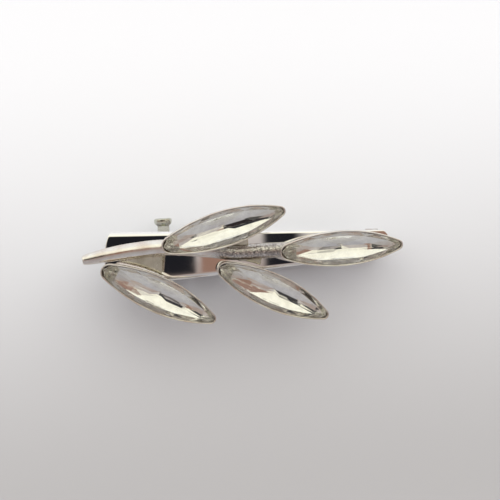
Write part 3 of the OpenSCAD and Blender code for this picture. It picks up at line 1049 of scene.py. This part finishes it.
def build_world():
    world = bpy.data.worlds.new("room")
    bpy.context.scene.world = world
    world.use_nodes = True
    tree = world.node_tree
    background = tree.nodes["Background"]
    coords = tree.nodes.new("ShaderNodeTexCoord")
    split = tree.nodes.new("ShaderNodeSeparateXYZ")
    tree.links.new(coords.outputs["Generated"], split.inputs["Vector"])

    def along(axis, stops):
        place = spread_range(tree, split.outputs[axis], -1, 1)
        return ramp(tree, place.outputs["Result"], stops)

    upward = spread_range(tree, split.outputs["Z"], 0.3, 0.6).outputs["Result"]
    overhead = multiply(tree, along("Y", OVERHEAD_Y), upward)
    sky = along("Y", FRONT_TO_BACK)
    for stops, colour in ((SOMEONE_X, DARK_CLOTHES), (HANDS_X, WARM_SKIN)):
        sky = mix_colours(tree, multiply(tree, along("X", stops), overhead), sky, colour)
    tree.links.new(sky, background.inputs["Color"])
    background.inputs["Strength"].default_value = ROOM_STRENGTH
    print("world:", world.name, "with", len(tree.nodes), "nodes")


build_world()

# %% [markdown]
# The paper is a flat matt sheet. A real one curls up towards the window behind it and is lighter
# there. The sheet stays flat here, and a ramp along Y paints that light into its colour: painted
# shade on the near side and painted light on the far side.

# %% The paper
# Painted light: the paper's own colour runs from painted shade near the viewer to painted light
# towards the window.
PAPER_NEAR_PAINTED_SHADE = rgb(0.475, 0.475, 0.5)
PAPER_FAR_PAINTED_LIGHT = rgb(0.86, 0.88, 0.94)
PAPER_NEAR_Y = -0.035
PAPER_FAR_Y = 0.03
PAPER_HALF = 0.6
PAPER_Z = -0.02 * MM


def matt_paper():
    material = make_finish(
        "matt_paper",
        dict(First=grey(0.5), Second=grey(0.46), Scale=30.0),
        dict(Low=0.7, High=0.85, Scale=200.0),
        dict(Stretch=EVEN, Scale=1500.0, Strength=0.05, Depth=0.00002),
        Metallic=0.0)
    tree = material.node_tree
    coords = tree.nodes.new("ShaderNodeTexCoord")
    split = tree.nodes.new("ShaderNodeSeparateXYZ")
    tree.links.new(coords.outputs["Object"], split.inputs["Vector"])
    # The ramp paints the window's light and the shade on the near side into the paper's colour.
    share = spread_range(tree, split.outputs["Y"], PAPER_NEAR_Y, PAPER_FAR_Y).outputs["Result"]
    shade = ramp(tree, share, [(0.0, PAPER_NEAR_PAINTED_SHADE), (1.0, PAPER_FAR_PAINTED_LIGHT)])
    tree.links.new(shade, shader_of(material).inputs["Base Color"])
    return material


def build_paper():
    bm = bmesh.new()
    bmesh.ops.create_grid(bm, x_segments=60, y_segments=60, size=PAPER_HALF)
    bmesh.ops.translate(bm, verts=bm.verts, vec=(0, 0, PAPER_Z))
    finish_piece(bm, "paper", [matt_paper()])
    print("paper:", 2 * PAPER_HALF, "m square")


build_paper()

# %% [markdown]
# One large lamp stands in for the window's daylight. A large lamp near the object gives the wide,
# soft shadow. It is kept out of mirrors and glass, where it would show as a hard white block.

# %% The window
WINDOW_AT = Vector((-0.02, 0.42, 0.4))
WINDOW_W = 1.7
WINDOW_H = 1.2
WINDOW_WATTS = 6.9


def add_window():
    light = bpy.data.lights.new("window", "AREA")
    light.shape = "RECTANGLE"
    light.size = WINDOW_W
    light.size_y = WINDOW_H
    light.energy = WINDOW_WATTS
    light.color = (1.0, 0.995, 0.985)
    lamp = bpy.data.objects.new("window", light)
    lamp.location = WINDOW_AT
    lamp.rotation_euler = (-WINDOW_AT).to_track_quat("-Z", "Y").to_euler()
    lamp.visible_glossy = False
    lamp.visible_transmission = False
    bpy.context.scene.collection.objects.link(lamp)
    print("window:", WINDOW_W, "by", WINDOW_H, "m")


add_window()

# %% [markdown]
# The camera looks down on the open face from close by, a little from one side and slightly turned.
# Its place is worked out from what it looks at, so that only angles and a distance are chosen.

# %% The camera
LENS = 78.3
DISTANCE = 140 * MM
LOOK_AT = Vector((-0.2, 0.1, 6.5)) * MM
YAW = math.radians(9)
PITCH = math.radians(-1)
ROLL = math.radians(3.6)


def add_camera():
    data = bpy.data.cameras.new("camera")
    data.lens = LENS
    data.clip_start = 0.01
    data.clip_end = 10
    camera = bpy.data.objects.new("camera", data)
    back = Vector((-math.tan(YAW), -math.tan(PITCH), 1)).normalized()
    right = Vector((0, 1, 0)).cross(back).normalized()
    up = back.cross(right)
    turned = Matrix((right, up, back)).transposed().to_4x4() @ Matrix.Rotation(-ROLL, 4, "Z")
    camera.matrix_world = Matrix.Translation(LOOK_AT + back * DISTANCE) @ turned
    bpy.context.scene.collection.objects.link(camera)
    bpy.context.scene.camera = camera


add_camera()
bpy.context.scene.view_settings.view_transform = "Standard"
print("camera:", round(DISTANCE / MM), "mm from the clip")

# %% [markdown]
# Light inside a silvered stone goes to and fro many times before it comes out again. If the path is
# cut short, those facets turn black, so the scene asks for longer paths than it has by default.

# %% Let light bounce long enough inside the stones
LONGEST_PATH = 24
if hasattr(bpy.context.scene, "cycles"):
    paths = bpy.context.scene.cycles
    paths.max_bounces = LONGEST_PATH
    paths.glossy_bounces = LONGEST_PATH
    paths.transmission_bounces = LONGEST_PATH
print("longest light path:", LONGEST_PATH, "bounces")
